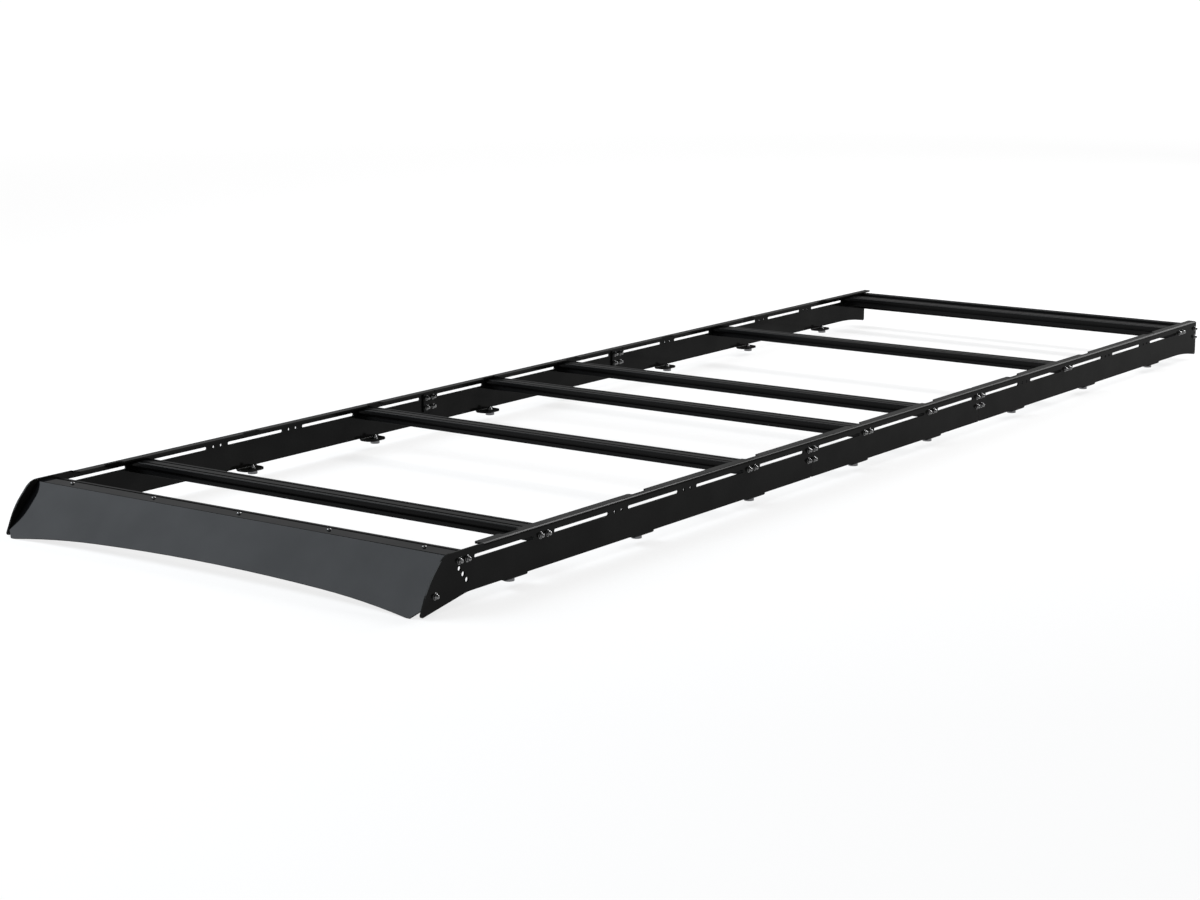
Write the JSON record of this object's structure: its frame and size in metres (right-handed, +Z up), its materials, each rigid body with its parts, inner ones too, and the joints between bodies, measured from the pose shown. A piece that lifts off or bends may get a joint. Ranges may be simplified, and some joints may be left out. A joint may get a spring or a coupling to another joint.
{
  "type": "roof rack",
  "caption": "Low flat van roof rack: slotted bent-sheet side rails on bolt-down feet, T-slot crossbars between them and an arched wind fairing in front.",
  "frame": {"origin": "middle of the rack's footprint, on the level floor that its lowest edges rest on", "axes": "+X to the vehicle's left, -Y to the front where the fairing is, +Z up"},
  "size_m": [1.4, 4.4546, 0.1353],
  "materials": {
    "rail_coat": "satin black powder coat on bent aluminium sheet",
    "bar_anodised": "black anodised aluminium extrusion",
    "fairing_coat": "smooth semi-gloss black powder coat on aluminium sheet",
    "spacer_alloy": "plain turned aluminium"
  },
  "bodies": {
    "root": {"left_rail_front": "rail_coat", "left_rail_middle": "rail_coat", "left_rail_rear": "rail_coat", "left_splice_front": "rail_coat", "left_splice_rear": "rail_coat", "left_foot_spacer_1": "spacer_alloy", "left_foot_spacer_2": "spacer_alloy", "left_foot_spacer_3": "spacer_alloy", "left_foot_spacer_4": "spacer_alloy", "left_foot_spacer_5": "spacer_alloy", "left_foot_spacer_6": "spacer_alloy", "left_foot_spacer_7": "spacer_alloy", "left_foot_spacer_8": "spacer_alloy", "right_rail_front": "rail_coat", "right_rail_middle": "rail_coat", "right_rail_rear": "rail_coat", "right_splice_front": "rail_coat", "right_splice_rear": "rail_coat", "right_foot_spacer_1": "spacer_alloy", "right_foot_spacer_2": "spacer_alloy", "right_foot_spacer_3": "spacer_alloy", "right_foot_spacer_4": "spacer_alloy", "right_foot_spacer_5": "spacer_alloy", "right_foot_spacer_6": "spacer_alloy", "right_foot_spacer_7": "spacer_alloy", "right_foot_spacer_8": "spacer_alloy", "front_crossbar": "bar_anodised", "crossbar_1": "bar_anodised", "crossbar_2": "bar_anodised", "crossbar_3": "bar_anodised", "crossbar_4": "bar_anodised", "crossbar_5": "bar_anodised", "crossbar_6": "bar_anodised", "rear_crossbar": "bar_anodised", "wind_fairing": "fairing_coat"}
  },
  "joints": []
}
